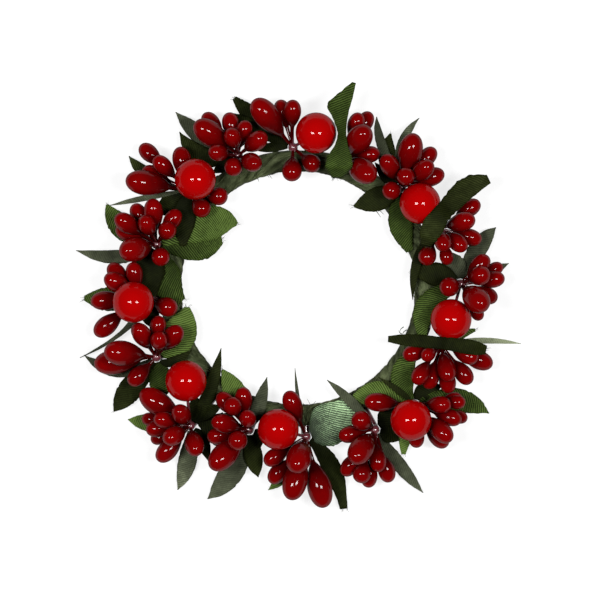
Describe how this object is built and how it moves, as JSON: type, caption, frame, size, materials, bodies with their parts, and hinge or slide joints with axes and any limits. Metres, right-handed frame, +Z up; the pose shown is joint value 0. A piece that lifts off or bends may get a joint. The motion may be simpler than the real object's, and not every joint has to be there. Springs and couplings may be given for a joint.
{
  "type": "candle ring",
  "caption": "Ring of lacquered red drop berries, round berries and green fabric leaves on a tape-wrapped wire hoop, laid round the foot of a candle.",
  "frame": {"origin": "centre of the wire hoop, on the table that the taped ring stands on", "axes": "+Z up from the table, +Y towards the top of the picture, +X towards its right"},
  "size_m": [0.131, 0.1252, 0.0258],
  "materials": {
    "steel_wire": "drawn wire",
    "stem_wire": "dark red coated wire",
    "green_tape": "fibrous twisted tape",
    "dark_red_lacquer": "clear lacquer over dark red",
    "bright_red_lacquer": "clear lacquer over bright red",
    "leaf_fabric": "stiffened satin"
  },
  "bodies": {
    "root": {"core_wire": "steel_wire", "drop_berries_a": "dark_red_lacquer", "drop_berries_b": "dark_red_lacquer", "drop_berries_c": "dark_red_lacquer", "drop_berries_d": "dark_red_lacquer", "drop_berries_e": "dark_red_lacquer", "drop_berries_f": "dark_red_lacquer", "drop_berries_g": "dark_red_lacquer", "drop_berries_h": "dark_red_lacquer", "drop_berries_i": "dark_red_lacquer", "drop_berries_j": "dark_red_lacquer", "drop_berries_k": "dark_red_lacquer", "drop_berries_l": "dark_red_lacquer", "drop_berries_m": "dark_red_lacquer", "drop_berries_n": "dark_red_lacquer", "drop_berries_o": "dark_red_lacquer", "drop_berries_p": "dark_red_lacquer", "large_berry_a": "bright_red_lacquer", "large_berry_c": "bright_red_lacquer", "large_berry_e": "bright_red_lacquer", "large_berry_g": "bright_red_lacquer", "large_berry_i": "bright_red_lacquer", "large_berry_k": "bright_red_lacquer", "large_berry_m": "bright_red_lacquer", "large_berry_o": "bright_red_lacquer", "leaves_a": "leaf_fabric", "leaves_b": "leaf_fabric", "leaves_c": "leaf_fabric", "leaves_d": "leaf_fabric", "leaves_e": "leaf_fabric", "leaves_f": "leaf_fabric", "leaves_g": "leaf_fabric", "leaves_h": "leaf_fabric", "leaves_i": "leaf_fabric", "leaves_j": "leaf_fabric", "leaves_k": "leaf_fabric", "leaves_l": "leaf_fabric", "leaves_m": "leaf_fabric", "leaves_n": "leaf_fabric", "leaves_o": "leaf_fabric", "leaves_p": "leaf_fabric", "stem_tails": "stem_wire", "stems_a": "stem_wire", "stems_b": "stem_wire", "stems_c": "stem_wire", "stems_d": "stem_wire", "stems_e": "stem_wire", "stems_f": "stem_wire", "stems_g": "stem_wire", "stems_h": "stem_wire", "stems_i": "stem_wire", "stems_j": "stem_wire", "stems_k": "stem_wire", "stems_l": "stem_wire", "stems_m": "stem_wire", "stems_n": "stem_wire", "stems_o": "stem_wire", "stems_p": "stem_wire", "tape_winding": "green_tape", "wire_sleeve": "steel_wire"}
  },
  "joints": []
}
